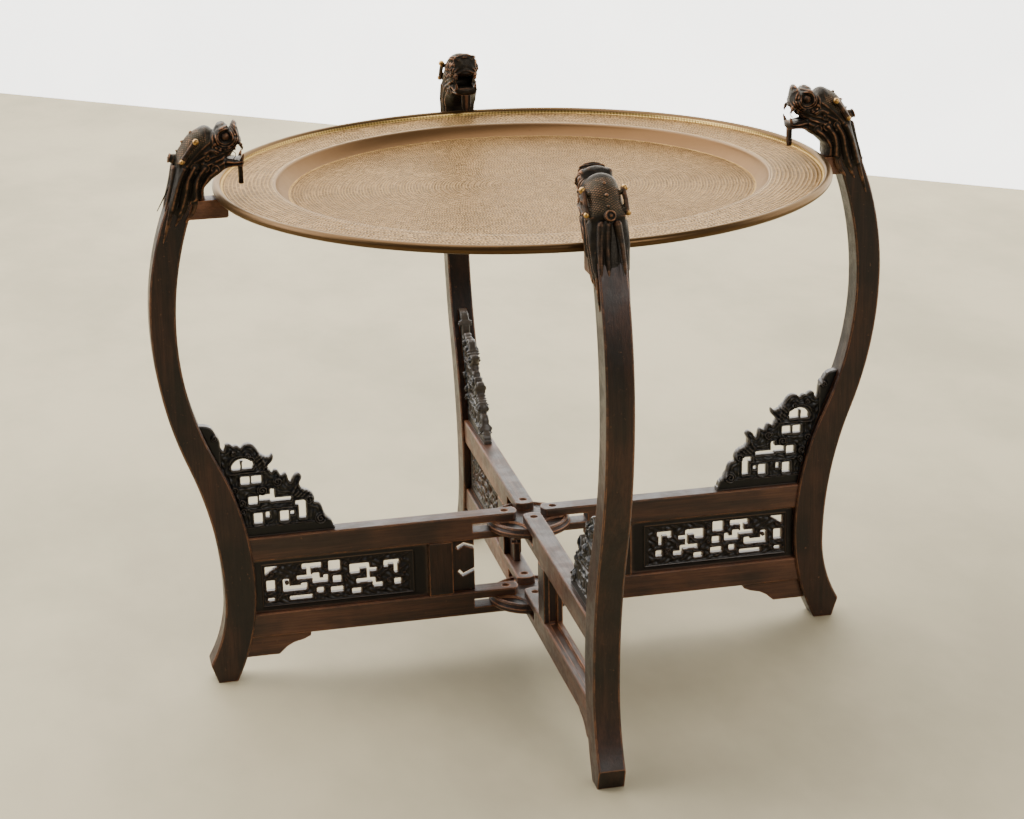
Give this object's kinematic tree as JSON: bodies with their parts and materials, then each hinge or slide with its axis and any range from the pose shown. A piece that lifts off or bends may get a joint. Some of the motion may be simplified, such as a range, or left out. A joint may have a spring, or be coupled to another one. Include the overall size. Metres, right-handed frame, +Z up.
{
  "type": "folding tray table",
  "caption": "Folding stand of hinged S-curved wooden wings with pierced fretwork and cast dragon-head finials, carrying a round hammered brass tray.",
  "frame": {"origin": "on the floor, under the middle of the hub, with the wings at right angles", "axes": "+Z up; -Y towards the front wing, the one without a fret panel; +X towards the right wing"},
  "size_m": [0.93, 0.93, 0.72],
  "materials": {
    "leg_wood": "dark stained hardwood, worn satin",
    "rail_wood": "dark stained hardwood, worn satin",
    "carved_wood": "blackened carved hardwood",
    "block_wood": "red-brown hardwood",
    "hub_wood": "dark stained hardwood with worn lips",
    "bronze": "dark patinated bronze with worn highlights",
    "pin_metal": "tarnished metal",
    "tray_brass": "hammered aged brass"
  },
  "bodies": {
    "hub": {"upper_hub_plate": "hub_wood", "lower_hub_plate": "hub_wood"},
    "wing_front": {"leg_front": "leg_wood", "upper_rail_front": "rail_wood", "lower_rail_front": "rail_wood", "stile_front": "rail_wood", "spandrel_front": "carved_wood", "apron_front": "carved_wood", "tray_block_front": "block_wood", "dragon_head_front": "bronze", "dragon_tongue_front": "bronze", "upper_pin_front": "pin_metal", "lower_pin_front": "pin_metal"},
    "wing_right": {"leg_right": "leg_wood", "upper_rail_right": "rail_wood", "lower_rail_right": "rail_wood", "stile_right": "rail_wood", "fret_panel_right": "carved_wood", "end_board_right": "carved_wood", "spandrel_right": "carved_wood", "apron_right": "carved_wood", "tray_block_right": "block_wood", "dragon_head_right": "bronze", "dragon_tongue_right": "bronze", "upper_pin_right": "pin_metal", "lower_pin_right": "pin_metal"},
    "wing_back": {"leg_back": "leg_wood", "upper_rail_back": "rail_wood", "lower_rail_back": "rail_wood", "stile_back": "rail_wood", "fret_panel_back": "carved_wood", "end_board_back": "carved_wood", "spandrel_back": "carved_wood", "apron_back": "carved_wood", "tray_block_back": "block_wood", "dragon_head_back": "bronze", "dragon_tongue_back": "bronze", "upper_pin_back": "pin_metal", "lower_pin_back": "pin_metal"},
    "wing_left": {"leg_left": "leg_wood", "upper_rail_left": "rail_wood", "lower_rail_left": "rail_wood", "stile_left": "rail_wood", "fret_panel_left": "carved_wood", "end_board_left": "carved_wood", "spandrel_left": "carved_wood", "apron_left": "carved_wood", "tray_block_left": "block_wood", "dragon_head_left": "bronze", "dragon_tongue_left": "bronze", "upper_pin_left": "pin_metal", "lower_pin_left": "pin_metal"},
    "tray": {"tray": "tray_brass"}
  },
  "joints": [
    {"name": "front_wing_hinge", "type": "hinge", "parent": "hub", "child": "wing_front", "pos_m": [0, -0.032, 0.123], "axis": [0, 0, 1], "range_deg": [-43, 43]},
    {"name": "right_wing_hinge", "type": "hinge", "parent": "hub", "child": "wing_right", "pos_m": [0.032, 0, 0.123], "axis": [0, 0, 1], "range_deg": [-43, 43]},
    {"name": "back_wing_hinge", "type": "hinge", "parent": "hub", "child": "wing_back", "pos_m": [0, 0.032, 0.123], "axis": [0, 0, 1], "range_deg": [-43, 43]},
    {"name": "left_wing_hinge", "type": "hinge", "parent": "hub", "child": "wing_left", "pos_m": [-0.032, 0, 0.123], "axis": [0, 0, 1], "range_deg": [-43, 43]},
    {"name": "tray_lift", "type": "slide", "parent": "hub", "child": "tray", "axis": [0, 0, 1], "range_m": [0, 0.006]}
  ]
}
